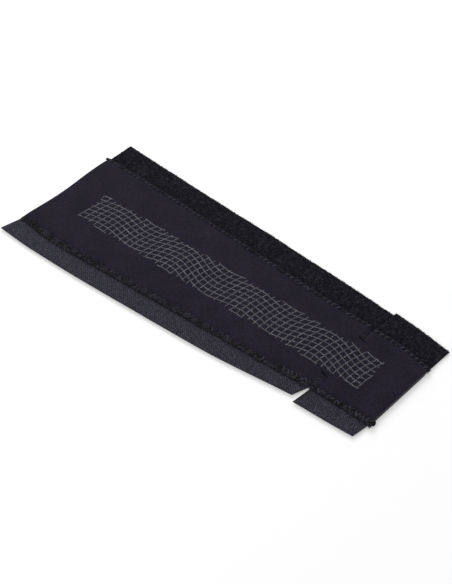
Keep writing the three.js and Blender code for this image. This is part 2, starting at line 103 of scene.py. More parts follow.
def new_material(name, roughness, ior=1.5, **shader_values):
    """A material with one Principled shader whose constant values sit on its own sockets."""
    material = bpy.data.materials.new(name)
    material.use_nodes = True
    tree = material.node_tree
    shader = tree.nodes["Principled BSDF"]
    shader.inputs["Roughness"].default_value = roughness
    shader.inputs["IOR"].default_value = ior
    for socket, value in shader_values.items():
        shader.inputs[socket.replace("_", " ")].default_value = value
    return material, tree, shader


def colour_ramp(factor, *stops):
    """A ramp through (position, hex colour) stops."""
    ramp = node(factor.id_data, "ValToRGB", {"Fac": factor})
    elements = ramp.color_ramp.elements
    while len(elements) < len(stops):
        elements.new(0.5)
    for element, (position, colour) in zip(elements, stops):
        element.position = position
        element.color = linear(colour)
    return ramp.outputs["Color"]


# %% [markdown]
# ## Floor, backdrop and light
# The wrap was photographed on white. A white floor under soft light comes out pale grey, so it glows a
# little towards the camera and reflections, lights nothing else, and keeps the wrap's soft shadow. The
# light is plain: an even sky, one large soft box from behind, and a weaker one from the front.

# %% Floor
FLOOR_SIZE, FLOOR_GLOW = 8.0, 0.32


def looked_at(tree):
    """1 for a ray from the camera or off something glossy, and 0 for one that only gathers light."""
    path = node(tree, "LightPath").outputs
    return node(tree, "Math", {0: path["Is Camera Ray"], 1: path["Is Glossy Ray"]}, operation="MAXIMUM")


floor_mesh = bpy.data.meshes.new("studio_floor")
corners = np.array([[-1, -1, 0], [1, -1, 0], [1, 1, 0], [-1, 1, 0]]) * FLOOR_SIZE / 2
floor_mesh.from_pydata(corners.tolist(), [], [(0, 1, 2, 3)])
floor = bpy.data.objects.new("studio_floor", floor_mesh)
scene.collection.objects.link(floor)

paper, tree, shader = new_material("matt_white_background_paper", roughness=0.95, Specular_IOR_Level=0.1)
glow = node(tree, "Math", {0: looked_at(tree), 1: FLOOR_GLOW}, operation="MULTIPLY")
fill(shader, {"Base Color": linear("#e6e6e6"), "Emission Color": linear("#ffffff"),
              "Emission Strength": glow})
floor_mesh.materials.append(paper)
print("floor", FLOOR_SIZE, "m square")

# %% Sky and lamps
SKY_STRENGTH = 0.5
sky = bpy.data.worlds.new("even_sky")
sky.use_nodes = True
scene.world = sky
tree = sky.node_tree
level = node(tree, "MapRange", {"Value": looked_at(tree), "To Min": SKY_STRENGTH, "To Max": 1.0})
fill(tree.nodes["Background"], {"Color": linear("#ffffff"), "Strength": level})


def soft_box(name, place, width, height, power):
    """A rectangular lamp of that size in metres, turned towards the wrap."""
    lamp = bpy.data.lights.new(name, "AREA")
    lamp.shape = "RECTANGLE"
    lamp.size, lamp.size_y, lamp.energy = width, height, power
    box = bpy.data.objects.new(name, lamp)
    box.location = place
    box.rotation_euler = (-Vector(place)).to_track_quat("-Z", "Y").to_euler()
    scene.collection.objects.link(box)
    print(name, width, "x", height, "m,", power, "W")


soft_box("soft_box_behind", (-0.7, 0.68, 0.72), width=0.9, height=0.6, power=7.2)
soft_box("soft_box_front", (-0.3, -0.98, 0.95), width=1.1, height=0.7, power=4.7)
scene.view_settings.view_transform = "Standard"

# %% [markdown]
# ## The wrap's plan
# The outline is the one the solids have, to within a millimetre. Each edge is a smooth curve through a
# few measured stations: a cubic piece runs from each to the next, with a slope between its neighbours'.

# %% Sizes
LENGTH = 248.2
LEFT, RIGHT = -LENGTH / 2, LENGTH / 2
PANEL_THICKNESS = 3.0
MARGIN_HEIGHT = 2.7
HOOK_MARGIN, LOOP_MARGIN, MARGIN_SLOPE = 4.8, 4.0, 1.6
HOOK_TAPE_WIDTH, LOOP_TAPE_WIDTH, TAPE_BACK, SELVEDGE = 20.0, 21.5, 0.5, 1.7
HOOK_HEIGHT, CRUSHED_PILE = 1.1, 0.6
HOOK_TAPE_TOP = HOOK_HEIGHT + TAPE_BACK
LOOP_TAPE_COVERED = TAPE_BACK + CRUSHED_PILE
HOOK_SEAM_INSET, LOOP_SEAM_INSET = 2.5, 1.95
HOOK_SEAM_SWING, LOOP_SEAM_SWING, STITCH_PITCH = 1.45, 0.95, 3.4
DART_X = LEFT + 0.8454 * LENGTH
DART_WIDTH, DART_SWING, POINT_TACK = 2.6, 1.2, 5.0
HOOK_DART_LENGTH, LOOP_DART_LENGTH = 12.5, 12.0
HOOK, LOOP = -1, 1


def curve_through(stations, base=0.0):
    """Width at x, through (share of the length, offset from the base) stations.

    Between two stations a width is the straight line between them plus t (1 - t) (a (1 - t) + b t), where
    a and b make the ends meet each station's slope. Past the last station it runs on along that slope.
    """
    at, offset = np.array(stations, float).T
    xs, widths = LEFT + at * LENGTH, base + offset
    slopes = np.gradient(widths, xs, edge_order=1)
    slopes[1:-1] = (widths[2:] - widths[:-2]) / (xs[2:] - xs[:-2])

    def curve(x):
        x = np.asarray(x, float)
        i = np.clip(np.searchsorted(xs, x) - 1, 0, len(xs) - 2)
        span, rise = xs[i + 1] - xs[i], widths[i + 1] - widths[i]
        t = (x - xs[i]) / span
        inside = np.clip(t, 0, 1)
        a, b = slopes[i] * span - rise, rise - slopes[i + 1] * span
        bend = inside * (1 - inside) * (a * (1 - inside) + b * inside)
        beyond = np.minimum(t, 0) * slopes[i] + np.maximum(t - 1, 0) * slopes[i + 1]
        return widths[i] + rise * inside + bend + beyond * span

    return curve


# The panel's two cut edges, then how far each tape shows past them.
hook_side = curve_through([(0, 4.3), (0.09, 6.3), (0.22, 4.7), (0.5, 0), (0.7, -3.1), (0.847, -6),
                           (1, -6.5)], base=35.1)
loop_side = curve_through([(0, 4.7), (0.2, 4.1), (0.5, 0.8), (0.7, -1.5), (0.847, -2.1), (0.93, -2.9),
                           (1, -6.3)], base=30.2)
hook_shown_long = curve_through([(0, 13), (0.1, 11.4), (0.22, 12), (0.5, 12.2), (0.62, 11.7), (0.73, 10),
                                 (0.83, 8.6)])
hook_shown_short = curve_through([(0.84, 12.1), (0.92, 11.4), (1, 9.9)])
loop_shown_long = curve_through([(0, 18.8), (0.1, 17.6), (0.22, 16.9), (0.34, 17), (0.48, 17.7), (0.58, 17.5),
                                 (0.7, 17.6), (0.85, 15.8)])
loop_shown_short = curve_through([(0.855, 17.9), (0.94, 16.9), (1, 17.9)])


def edge_beyond(side, shown):
    """A tape's outer edge: the panel's edge plus what shows of the tape."""
    return lambda x: side(x) + shown(x)


hook_edge_long = edge_beyond(hook_side, hook_shown_long)
hook_edge_short = edge_beyond(hook_side, hook_shown_short)
loop_edge_long = edge_beyond(loop_side, loop_shown_long)
loop_edge_short = edge_beyond(loop_side, loop_shown_short)
CUT_REACH, WAVE, WAVE_LENGTH, WAVE_SHIFT, WAVE_MEAN, LEAN = 20.0, 0.75, 72.0, 9.0, -0.3, 0.025


def with_cut_ends(x, y):
    """x moved by a cosine wave at the wide cut end and by LEAN y at the narrow one, near each of them."""
    near_wide = np.clip(1 - (x - LEFT) / CUT_REACH, 0, 1)
    near_narrow = np.clip(1 - (RIGHT - x) / CUT_REACH, 0, 1)
    wave = WAVE * np.cos(2 * np.pi * (y + WAVE_SHIFT) / WAVE_LENGTH) + WAVE_MEAN
    return x + near_wide * wave + near_narrow * LEAN * y


print("panel", round(float(hook_side(0) + loop_side(0)), 1), "mm wide at its middle")

# %% [markdown]
# ## The needle holes
# Every seam is a machine zigzag: the needle goes down on one side, the cloth moves on, and it goes down
# on the other. So a seam is a list of holes. The same holes make the pits in the foam and carry the
# thread, and they are a little uneven, as the cloth was fed by hand.

# %% Needle holes
TACK_END, LAST_TACK, NOTCH_TACK = LEFT + 21.4, RIGHT - 15, DART_X - 22
HAND_FED, DART_FIRST, DART_STEP = 0.12, 0.9, 1.1
HOOK_RUNS = (  # first and last hole, pitch, swing, inset, unevenness and seed of each run
    (LEFT + 0.8, TACK_END, 1.9, 1.8, HOOK_SEAM_INSET, 0.3, 51),
    (LEFT + 1.3, TACK_END, 2.6, 1.5, HOOK_SEAM_INSET, 0.35, 52),
    (TACK_END, NOTCH_TACK, STITCH_PITCH, HOOK_SEAM_SWING, HOOK_SEAM_INSET, 0.18, 53),
    (NOTCH_TACK, DART_X - 1.2, 2.8, 1.2, 2.9, 0.25, 54),
    (DART_X + 1.2, RIGHT - 0.9, 2.6, 1.0, 1.9, 0.25, 55),
    (LAST_TACK, RIGHT - 0.8, 2.4, 1.5, 2.3, 0.35, 56))
LOOP_RUNS = (
    (LEFT + 0.7, DART_X - 1.4, STITCH_PITCH, LOOP_SEAM_SWING, LOOP_SEAM_INSET, HAND_FED, 61),
    (DART_X + 1.4, RIGHT - 0.8, STITCH_PITCH, LOOP_SEAM_SWING, LOOP_SEAM_INSET, HAND_FED, 62))


def stacked(*arrays):
    """The arrays side by side along a new last axis, each spread to the shape they all fit."""
    return np.stack(np.broadcast_arrays(*arrays), -1)


def zigzag(side, width, start, stop, pitch, swing, inset, uneven, seed):
    """Holes from start to stop, half a pitch apart, that swing in and out of a line inside the cut edge."""
    x = np.linspace(start, stop, int(round((stop - start) / (pitch / 2))) + 1)
    swings = np.where(np.arange(len(x)) % 2, swing, -swing)
    holes = stacked(x, side * (width(x) - inset + swings))
    return holes + np.random.default_rng(seed).normal(0, uneven, holes.shape)


def dart_holes(side, width, length, seed):
    """Holes down a dart from the cut edge to its point, in order of y."""
    down = np.arange(width(DART_X) - DART_FIRST, width(DART_X) - length, -DART_STEP)
    swings = np.where(np.arange(len(down)) % 2, DART_SWING, -DART_SWING)
    holes = stacked(DART_X + swings, side * down)
    holes = holes + np.random.default_rng(seed).normal(0, HAND_FED, holes.shape)
    return holes[np.argsort(holes[:, 1])]


back_tack, second_tack, hook_run, to_notch, hook_short_run, last_tack = [
    zigzag(HOOK, hook_side, *run) for run in HOOK_RUNS]
loop_run, loop_short_run = [zigzag(LOOP, loop_side, *run) for run in LOOP_RUNS]
hook_dart = dart_holes(HOOK, hook_side, HOOK_DART_LENGTH, seed=71)
loop_dart = dart_holes(LOOP, loop_side, LOOP_DART_LENGTH, seed=72)
long_seams = (back_tack, second_tack, hook_run, to_notch, hook_short_run, last_tack, loop_run, loop_short_run)
print("needle holes:", sum(map(len, long_seams)) + len(hook_dart) + len(loop_dart))

# %% [markdown]
# ## Meshes from arrays
# Cloth is a slab: a grid of points for each face, and a few rows that close the border between them.
# Thread, hooks and pile are tubes: a path for each, and a ring of points round every point of the path.

# %% Helpers for meshes
def smooth_step(t):
    """0 below 0, 1 above 1, and 3 t^2 - 2 t^3 between."""
    t = np.clip(t, 0, 1)
    return t * t * (3 - 2 * t)


def hump(distance, width):
    """A bell of height 1: e ^ -(distance / width)^2."""
    return np.exp(-((distance / width) ** 2))


def round_off(distance, radius, steepest=1.0):
    """A quarter circle, from 0 at an edge to 1 a radius inside it: sqrt(1 - (1 - distance / radius)^2)."""
    return np.sqrt(1 - np.clip(1 - distance / radius, 0, steepest) ** 2)


def unit(vectors):
    """The vectors scaled to length 1."""
    return vectors / np.linalg.norm(vectors, axis=-1, keepdims=True)


def rough(x, y, wavelength, seed, waves=36):
    """An uneven relief of about -1 to 1: the sum of plane waves of nearly that length, in all directions."""
    source = np.random.default_rng(seed)
    total = np.zeros(np.broadcast(x, y).shape)
    for heading, phase, stretch in source.uniform((0, 0, 0.7), (np.pi, 2 * np.pi, 1.4), (waves, 3)):
        across = x * np.cos(heading) + y * np.sin(heading)
        total += np.cos(2 * np.pi * across / (wavelength * stretch) + phase)
    return total / np.sqrt(2 * waves)


def spaced(start, stop, step, tight):
    """Points from start to stop, a step apart, closer round each (place, reach, how many times closer)."""
    fine = np.linspace(start, stop, 4000)
    density = np.ones_like(fine) / step
    for place, reach, times in tight:
        density += (times - 1) / step * hump(fine - place, reach)
    total = np.concatenate([[0], np.cumsum((density[1:] + density[:-1]) / 2 * np.diff(fine))])
    return np.interp(np.linspace(0, total[-1], int(round(total[-1])) + 1), total, fine)


def finished_mesh(name, points, faces, material, slot, attributes=None):
    """A smooth-shaded piece of the wrap, from points in millimetres and an array of equal faces.

    An attribute's values belong to the first points, and all the others get 0.
    """
    mesh = bpy.data.meshes.new(name)
    mesh.vertices.add(len(points))
    mesh.vertices.foreach_set("co", (points * MM).astype(np.float32).ravel())
    mesh.loops.add(faces.size)
    mesh.loops.foreach_set("vertex_index", faces.astype(np.int32).ravel())
    mesh.polygons.add(len(faces))
    mesh.polygons.foreach_set("loop_start", np.arange(len(faces), dtype=np.int32) * faces.shape[1])
    mesh.update(calc_edges=True)
    mesh.polygons.foreach_set("use_smooth", np.ones(len(faces), bool))
    for label, values in (attributes or {}).items():
        kind, key = ("FLOAT", "value") if values.ndim == 1 else ("FLOAT_VECTOR", "vector")
        padded = np.zeros((len(points), *values.shape[1:]), np.float32)
        padded[:len(values)] = values
        mesh.attributes.new(label, kind, "POINT").data.foreach_set(key, padded.ravel())
    mesh.materials.append(material)
    piece = bpy.data.objects.new(name, mesh)
    scene.collection.objects.link(piece)
    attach(piece, "root")
    triangles = len(faces) * (faces.shape[1] - 2)
    print(f"{name}: {triangles} triangles, {np.ptp(points, axis=0).round(1).tolist()} mm")
    return piece


def outward(points, faces):
    """The points and their faces, turned round when the volume they enclose comes out negative."""
    a, b, c = points[faces[:, 0]], points[faces[:, 1]], points[faces[:, 2]]
    return points, faces if np.sum(np.cross(a, b) * c) > 0 else faces[:, ::-1]


def slab(top, bottom, wall_shares=(0.5,)):
    """Points and outward quads of a closed slab between two grids of shape (m, n, 3).

    The rows of its wall lie between the two borders, at those shares of the way down.
    """
    m, n = top.shape[:2]
    grid = np.arange(m * n).reshape(m, n)
    border = np.concatenate([grid[:-1, 0], grid[-1, :-1], grid[:0:-1, -1], grid[0, :0:-1]])
    upper, lower = top.reshape(-1, 3), bottom.reshape(-1, 3)
    walls = [upper[border] + share * (lower[border] - upper[border]) for share in wall_shares]
    points = np.concatenate([upper, lower, *walls])
    face = stacked(grid[:-1, :-1], grid[1:, :-1], grid[1:, 1:], grid[:-1, 1:]).reshape(-1, 4)
    first = 2 * m * n + len(border) * np.arange(len(walls))[:, None]
    rows = [border, *(first + np.arange(len(border))), border + m * n]
    sides = [stacked(a, b, np.roll(b, -1), np.roll(a, -1)) for a, b in zip(rows, rows[1:])]
    return outward(points, np.concatenate([face, face[:, ::-1] + m * n, *sides]))


def skin_of(rings):
    """Points and outward triangles of closed skins over rings of points, shaped (skins, rings, corners, 3).

    Each ring is joined to the next, and the first and last are filled by a fan of triangles.
    """
    count, steps, corners = rings.shape[:3]
    ids = np.arange(count * steps * corners).reshape(count, steps, corners)
    ahead = np.roll(ids, -1, axis=2)
    a, b, c, d = ids[:, :-1], ahead[:, :-1], ahead[:, 1:], ids[:, 1:]
    skin = np.stack([stacked(a, b, c), stacked(a, c, d)]).reshape(-1, 3)
    first, last = ids[:, 0], ids[:, -1]
    fans = [stacked(first[:, 0], first[:, k + 1], first[:, k]) for k in range(1, corners - 1)]
    fans += [stacked(last[:, 0], last[:, k], last[:, k + 1]) for k in range(1, corners - 1)]
    return outward(rings.reshape(-1, 3), np.concatenate([skin, *fans]))


def tubes(paths, sideways, radius, corners):
    """Closed tubes, one along each path of an array (tubes, steps, 3).

    A ring's points are the path's point plus radius times (cos, sin) of their turn, measured from a
    sideways direction towards the one that is square to it and to the path.
    """
    along = unit(np.gradient(paths, axis=1))
    sideways = np.broadcast_to(sideways, paths.shape)
    up = unit(np.cross(sideways, along))
    turn = np.arange(corners) * 2 * np.pi / corners
    spread = np.cos(turn)[:, None] * sideways[:, :, None] + np.sin(turn)[:, None] * up[:, :, None]
    thick = np.broadcast_to(radius, paths.shape[:2])[:, :, None, None]
    return skin_of(paths[:, :, None] + thick * spread)


def joined(parts):
    """One set of points and faces from several."""
    starts = np.cumsum([0, *(len(points) for points, _ in parts)])
    faces = [faces + start for (_, faces), start in zip(parts, starts)]
    return np.concatenate([points for points, _ in parts]), np.concatenate(faces)


# %% [markdown]
# ## Foam rubber panel
# Three millimetres of closed-cell foam rubber with a thin knit glued to both faces. It was cut flat, so
# its edges show the foam between the two knits, and it is soft, so every seam pulls it down: the margin
# is thinner, each needle hole makes a pit, and each dart is a valley with a swelling on either side.
# The height is worked out at every point, so that the ink and the thread can ask for it too.

# %% The panel's faces as heights
SEAM_GROOVE, SEAM_GROOVE_WIDTH = 0.1, 1.4
END_ROUNDING, END_DROP = 0.4, 0.2
UNDER_PLAY, UNDER_OVERLAP, UNDER_EASE, SAG_LENGTH = 0.03, 0.4, 0.6, 0.35


def insets(x, y):
    """How far a point lies in from the near and from the far cut edge."""
    return y + hook_side(x), loop_side(x) - y


def seam_relief(inset, seam_inset, margin, rounding):
    """How far a sewn edge lowers the face: a thinner margin, a groove at the seam and a rounded cut edge."""
    thinner = 1 - smooth_step(inset / (margin + 3 * MARGIN_SLOPE))
    groove = SEAM_GROOVE * hump(inset - seam_inset, SEAM_GROOVE_WIDTH)
    return (PANEL_THICKNESS - MARGIN_HEIGHT) * thinner + groove + rounding * (1 - round_off(inset, rounding))


def at_holes(x, y, holes, radius, axis=0):
    """1 at each hole, falling as e ^ -(distance / radius)^2, from the holes before and after on an axis."""
    along, across = (x, y) if axis == 0 else (y, x)
    after = np.clip(np.searchsorted(holes[:, axis], along), 1, len(holes) - 1)
    squares = [(along - holes[i, axis]) ** 2 + (across - holes[i, 1 - axis]) ** 2 for i in (after - 1, after)]
    return np.exp(-np.minimum(*squares) / radius ** 2)


def needle_pits(x, y, radius):
    """How near a point is to the needle holes of all the seams and darts, from 0 to 1."""
    pits = [at_holes(x, y, holes, radius) for holes in long_seams]
    pits += [at_holes(x, y, holes, radius, axis=1) for holes in (hook_dart, loop_dart)]
    return np.max(pits, axis=0)


def dart_relief(x, inset, length, depth):
    """How far a sewn dart lowers the face: a valley that runs out at its point, less a swelling beside it."""
    share = np.clip(1 - inset / length, 0, 1)
    swelling = 0.18 * share ** 0.5 * hump(np.abs(x - DART_X) - 0.9 * DART_WIDTH, 1.3)
    return depth * (share ** 0.7 * hump(x - DART_X, 0.4 * DART_WIDTH) - swelling)


def panel_top(x, y):
    """Height of the printed face: the foam's thickness less its seams and darts, and a slight unevenness."""
    near, far = insets(x, y)
    height = PANEL_THICKNESS - seam_relief(near, HOOK_SEAM_INSET, HOOK_MARGIN, rounding=0.7)
    height = height - seam_relief(far, LOOP_SEAM_INSET, LOOP_MARGIN, rounding=0.3)
    height = height - dart_relief(x, near, HOOK_DART_LENGTH, depth=0.5)
    height = height - dart_relief(x, far, LOOP_DART_LENGTH, depth=0.9)
    free = smooth_step(np.minimum(near, far) / 9)
    height = height + free * (0.09 * rough(x, y, 40, seed=3) + 0.025 * rough(x, y, 9, seed=4))
    return height - END_DROP * (1 - round_off(np.minimum(x - LEFT, RIGHT - x), END_ROUNDING))


def drawn_in(x, y, inset, seed):
    """How far thread draws a cut edge in, as small scallops: most at the outer holes, none 3 mm inside."""
    scallops = 0.4 * needle_pits(x, y, 1.3) + 0.22 * rough(x, 0 * x, 2.1, seed)
    return scallops * (1 - smooth_step(inset / 3))


def painted_seam_shade_mask(x, y):
    """How much painted shade darkens the knit along its seams, from 0 to 1.

    It is painted shade along the near cut edge where it steps down to the tape, down the middle of each dart,
    in a gully along the short near seam, and at every needle hole, least in the near dart; and a strip
    beside the far seam is simply darker.
    """
    near, far = insets(x, y)
    uneven = 1 + 0.8 * rough(x, y, 2.1, seed=8)
    # Painted shade: a line where the near cut edge steps down to the tape, the dart valleys, the gully by the
    # short near seam and every needle hole. The strip beside the far seam is simply darker.
    edge = 0.2 * hump(near, 0.45 * uneven)
    down_near, down_far = [np.clip(1 - inset / length, 0, 1) ** 0.5
                           for inset, length in ((near, HOOK_DART_LENGTH), (far, LOOP_DART_LENGTH))]
    valley = 0.3 * (0.5 * down_near + down_far) * hump(x - DART_X, 0.5)
    far_seam_darkening = 0.17 * hump(far - 3.8, 1.7)
    gully = 0.65 * (x > DART_X) * hump(near - 3.6, 0.45 * uneven) * smooth_step((RIGHT - x) / 3)
    in_near_dart = (np.abs(x - DART_X) < 2) & (near > 4)
    pit_shade = 0.7 - 0.3 * (far < near) - 0.4 * in_near_dart
    return np.clip(edge + valley + far_seam_darkening + gully + pit_shade * needle_pits(x, y, 0.45), 0, 1)


def panel_underside(x, y):
    """Height of the plain face: 0 between the tapes, and just above each tape where it is sewn on.

    At the narrow end the foam sags past the cut end of the hook tape and hides it.
    """
    before_dart = smooth_step((DART_X + 0.8 - x) / 1.6)
    hook_edge = before_dart * hook_edge_long(x) + (1 - before_dart) * hook_edge_short(x)
    loop_edge = before_dart * loop_edge_long(x) + (1 - before_dart) * loop_edge_short(x)
    over_hook = 1 - smooth_step((y + hook_edge - HOOK_TAPE_WIDTH - UNDER_OVERLAP) / UNDER_EASE)
    over_loop = 1 - smooth_step((loop_edge - LOOP_TAPE_WIDTH - UNDER_OVERLAP - y) / UNDER_EASE)
    on_hook_tape = (HOOK_TAPE_TOP + UNDER_PLAY) * over_hook * smooth_step((RIGHT - x) / SAG_LENGTH)
    return on_hook_tape + (LOOP_TAPE_COVERED + UNDER_PLAY) * over_loop


# %% Knit-faced foam rubber
# Nylon jersey: dull, near black with a violet cast, a little uneven where it was stretched over the foam,
# and rubbed grey along the near sewn edge. Painted shade darkens it in creased strokes along that edge, at
# the near cut edge, in the darts and the needle holes, and a strip beside the far seam is darker. Its
# stitches are half a millimetre wide, too fine to show, so they are drawn at nearly twice that.
KNIT_WALE, KNIT_COURSE = 0.95, 0.8
jersey, tree, shader = new_material("nylon_jersey_on_foam_rubber", roughness=0.92, Specular_IOR_Level=0.12,
                                    Sheen_Weight=0.03, Sheen_Roughness=0.5)
place = node(tree, "TexCoord").outputs["Object"]
axes = node(tree, "SeparateXYZ", {0: place})
broad = node(tree, "TexNoise", {"Vector": place, "Scale": 75.0, "Detail": 4.0})
fine = node(tree, "TexNoise", {"Vector": place, "Scale": 620.0, "Detail": 2.0})
dyed = colour_ramp(broad, (0.3, "#1b1727"), (0.7, "#262132"))
lint = colour_ramp(fine, (0.32, "#bcbcbc"), (0.7, "#ffffff"))
speckled = node(tree, "Mix", {0: 1.0, 6: dyed, 7: lint}, data_type="RGBA", blend_type="MULTIPLY")
core, painted_seam_shade = [node(tree, "Attribute", attribute_name=name).outputs["Fac"] for name in ("core", "painted_seam_shade")]
cells = node(tree, "TexVoronoi", {"Vector": place, "Scale": 1800.0})
foam = colour_ramp(cells, (0.0, "#2a2a2e"), (0.6, "#4d4d54"))
from_edges = node(tree, "Attribute", attribute_name="inset").outputs["Vector"]
inset = node(tree, "SeparateXYZ", {0: from_edges}).outputs
worn = colour_ramp(fine, (0.4, "#100f11"), (0.6, "#343237"))
rubbed = node(tree, "MapRange", {"Value": inset["Y"], "From Min": 1.8, "From Max": 3.6, "To Min": 0.8,
                                 "To Max": 0.0})
faced = node(tree, "Mix", {0: rubbed, 6: speckled, 7: worn}, data_type="RGBA")
# Feathery strokes of painted crease shade along the near seam, strongest at the edge and fading inwards.
leaning = node(tree, "Math", {0: inset["Y"], 1: 0.5, 2: inset["X"]}, operation="MULTIPLY_ADD")
strokes = node(tree, "CombineXYZ", {"X": leaning, "Y": inset["Y"]})
drawn = node(tree, "Mapping", {"Vector": strokes, "Scale": (0.85, 0.13, 1.0)})
creases = node(tree, "TexNoise", {"Vector": drawn, "Scale": 1.0, "Detail": 1.0})
sharp = node(tree, "MapRange", {"Value": creases, "From Min": 0.49, "From Max": 0.58})
reach = node(tree, "Math", {0: creases, 1: -8.0, 2: inset["Y"]}, operation="MULTIPLY_ADD")
faded = node(tree, "MapRange", {"Value": reach, "From Min": -0.6, "From Max": 1.0, "To Min": 0.55,
                                "To Max": 0.0})
painted_crease_shade = node(tree, "Math", {0: sharp, 1: faded}, operation="MULTIPLY")
# The seam shade and the crease strokes are painted shade, mixed towards near black.
dark = node(tree, "Math", {0: painted_seam_shade, 1: painted_crease_shade}, operation="MAXIMUM")
shaded = node(tree, "Mix", {0: dark, 6: faced, 7: linear("#0c0b0e")}, data_type="RGBA")
cut = node(tree, "Mix", {0: core, 6: shaded, 7: foam}, data_type="RGBA")
turns = [node(tree, "Math", {0: axes.outputs[axis], 1: 2 * np.pi / (pitch * MM)}, operation="MULTIPLY")
         for axis, pitch in (("Y", KNIT_WALE), ("X", KNIT_COURSE))]
ribs = node(tree, "Math", {0: turns[0]}, operation="SINE")
lean = node(tree, "Math", {0: ribs, 1: 1.1, 2: turns[1]}, operation="MULTIPLY_ADD")
loops = node(tree, "Math", {0: lean}, operation="SINE")
knit = node(tree, "Math", {0: ribs, 1: loops}, operation="ADD")
bump = node(tree, "Bump", {"Height": knit, "Strength": 0.35, "Distance": 0.00004})
fill(shader, {"Base Color": cut, "Normal": bump})

# %% Panel
PANEL_STEP, PANEL_ROWS, ROW_CROWDING = 0.62, 105, 0.72
WALL_SHARES = (0.1, 0.15, 0.85, 0.9)  # down a cut edge, where it turns from knit to foam and back
STITCH_DENT, FAR_INSIDE = 0.2, 50.0

xs = spaced(LEFT, RIGHT, PANEL_STEP, tight=[(DART_X, 4, 1.6), (LEFT, 1, 3), (RIGHT, 1, 3)])
evenly = np.linspace(0, 1, PANEL_ROWS)
shares = evenly - ROW_CROWDING * np.sin(2 * np.pi * evenly) / (2 * np.pi)  # closer at both cut edges
x = np.broadcast_to(xs[:, None], (len(xs), len(shares)))
y = -hook_side(x) + shares * (hook_side(x) + loop_side(x))
near, far = insets(x, y)
drawn = y + drawn_in(x, y, near, seed=5) - drawn_in(x, y, far, seed=6)
dented = panel_top(x, y) - STITCH_DENT * needle_pits(x, y, 0.7)
top = stacked(with_cut_ends(x, y), drawn, dented)
bottom = stacked(with_cut_ends(x, y), drawn, panel_underside(x, y))
points, quads = slab(top, bottom, WALL_SHARES)

wall = (len(points) - 2 * x.size) // 4
sewn_side = np.clip(0.4 + 0.5 * rough(xs[1:], 0 * xs[1:], 1.7, seed=9), 0, 1)
cut_end = np.ones(len(shares) - 1)
shows = np.concatenate([sewn_side, cut_end, sewn_side, cut_end])
core = np.concatenate([np.zeros(2 * x.size + wall), shows, shows])
inset = np.full((len(points), 3), FAR_INSIDE)
inset[:x.size] = stacked(x, near, far).reshape(-1, 3)
panel = finished_mesh("foam_wrap", points, quads, jersey, "knit_faced_foam",
                      {"core": core, "painted_seam_shade": painted_seam_shade_mask(x, y).ravel(), "inset": inset})
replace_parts(panel, "foam_panel")

# %% [markdown]
# ## The tapes' plan
# Each edge has a long piece of tape, about 20 mm wide, and a short one past the dart. A tape is bent in
# its plane to follow its seam, and its ends are cut at an angle. So a point of it is placed by its share
# of the length and by its distance in from the outer edge.

# %% Plan of a tape
def tape_plan(side, panel_edge, edge, start, end):
    """A function that places (share of the length, distance in from the outer edge), and the length.

    Each end is an x, how far the cut lies past it, and its lean: square under the panel, leaning outside.
    """
    def cut(x, past, lean, outwards):
        return lambda width: x + outwards * (past + lean * np.maximum(0, width - panel_edge(x)))

    start, end = cut(*start, -1), cut(*end, 1)
    start_x, end_x = start(edge(start(0))), end(edge(end(0)))

    def place(share, inwards):
        width = edge(start_x + share * (end_x - start_x)) - inwards
        x = start(width) + share * (end(width) - start(width))
        return x, side * (edge(x) - inwards)

    return place, float(end_x - start_x)


hook_long = tape_plan(HOOK, hook_side, hook_edge_long, (LEFT, 1.6, 0.21), (DART_X, -1.3, -0.37))
hook_short = tape_plan(HOOK, hook_side, hook_edge_short, (DART_X, 0, 0.105), (RIGHT, -1.2, -0.156))
loop_long = tape_plan(LOOP, loop_side, loop_edge_long, (LEFT, 0.5, 0), (DART_X, -0.1, 0.09))
loop_short = tape_plan(LOOP, loop_side, loop_edge_short, (DART_X, -0.1, -0.09), (RIGHT, 0.2, 0.04))
lengths = [round(length, 1) for _, length in (hook_long, hook_short, loop_long, loop_short)]
print("tapes cut to", lengths, "mm")

# %% [markdown]
# ## Woven hook tape
# A tight nylon weave. Its back is up here, and shows rows of small dots where the stiff hook threads are
# bound in. The dots are real relief, a chessboard of small rises, and the same numbers colour them, with
# painted shade in the pits and painted light on the rises. The short piece is darker over two
# millimetres at its notch end.

# %% Woven tape
DOTS_ALONG, DOTS_ACROSS, WEAVE_STEP = 1.5, 1.2, 0.32
TOP_DOT, BACK_DOT, RIM_RADIUS, RIM_DROP = 0.06, 0.04, 0.4, 0.12


def woven_tape(name, plan, width, low, high, material, slot, shown, lift, darker_end=0.0):
    """A tape between two heights, with a chessboard of dots: sine of the way along times sine of the way in.

    Its outer edge is lifted off the floor, and its start can be made darker, over that many millimetres.
    """
    place, length = plan
    share = np.linspace(0, 1, int(round(length / WEAVE_STEP)) + 1)[:, None]
    inwards = spaced(0, width, 2 * WEAVE_STEP, tight=[(shown / 2, shown / 2, 2.0), (0, 0.8, 3)])[None, :]
    x, y = place(share, inwards)
    dots = np.sin(2 * np.pi * share * length / DOTS_ALONG) * np.sin(2 * np.pi * inwards / DOTS_ACROSS)
    dots = dots * smooth_step((inwards - 0.5) / 0.6)
    rim = np.minimum(np.minimum(share, 1 - share) * length, inwards)
    soft_rim = RIM_DROP * (1 - round_off(rim, RIM_RADIUS))
    raised = lift * (1 + rough(x, y, 34, seed=7)) * smooth_step((shown - inwards) / shown)
    top = stacked(x, y, high + raised - soft_rim + TOP_DOT * (dots - 1))
    bottom = stacked(x, y, low + raised + BACK_DOT * (dots + 1))
    way = stacked(share * length, inwards, 0).reshape(-1, 3) * MM
    end_darkening = hump(share * length, darker_end) * smooth_step((inwards - 0.5) / 5) if darker_end else 0 * dots
    return finished_mesh(name, *slab(top, bottom), material, slot, {
        "dots": np.concatenate([dots.ravel(), -dots.ravel()]), "along": np.tile(way, (2, 1)),
        "darker_end": np.tile(end_darkening.ravel(), 2)})


